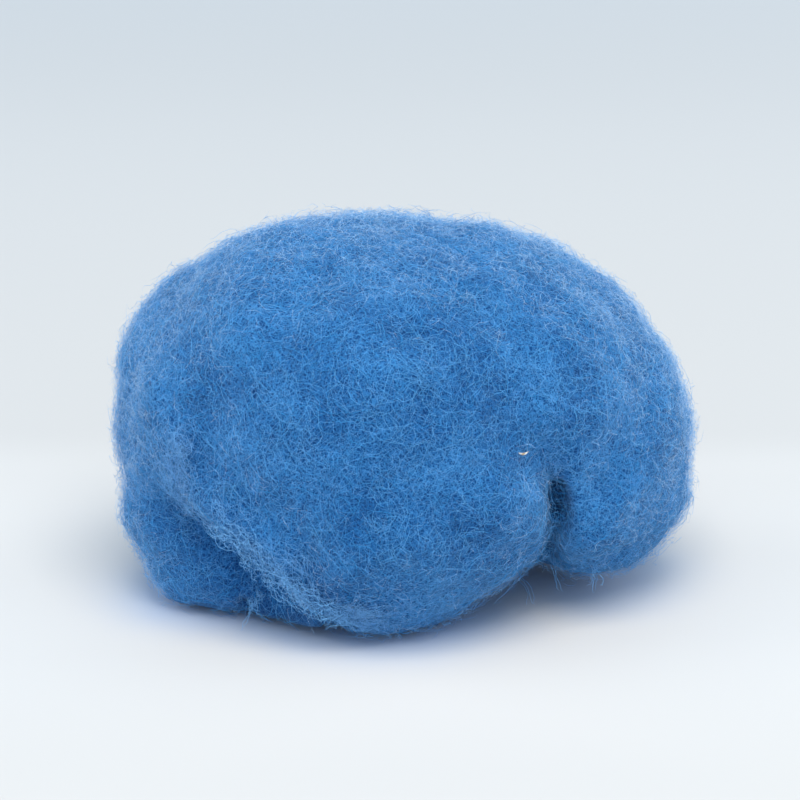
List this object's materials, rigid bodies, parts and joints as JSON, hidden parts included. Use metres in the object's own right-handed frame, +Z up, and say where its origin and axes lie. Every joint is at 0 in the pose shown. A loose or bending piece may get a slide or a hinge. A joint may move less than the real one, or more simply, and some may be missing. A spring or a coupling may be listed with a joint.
{
  "type": "wad of carded wool",
  "caption": "Loose, rounded wad of blue carded wool fibre, tucked together from a batt, with a rolled lip and a notch at its front and a small flat spot below.",
  "frame": {"origin": "middle of the bounding box at the plane the wad rests on", "axes": "+X to the right along the wad's longest side, +Y from its front to its back, +Z up"},
  "size_m": [0.1106, 0.088, 0.071],
  "materials": {
    "wool": "loose carded wool fibre, matt with a soft sheen"
  },
  "bodies": {
    "root": {"wool_wad": "wool"}
  },
  "joints": []
}
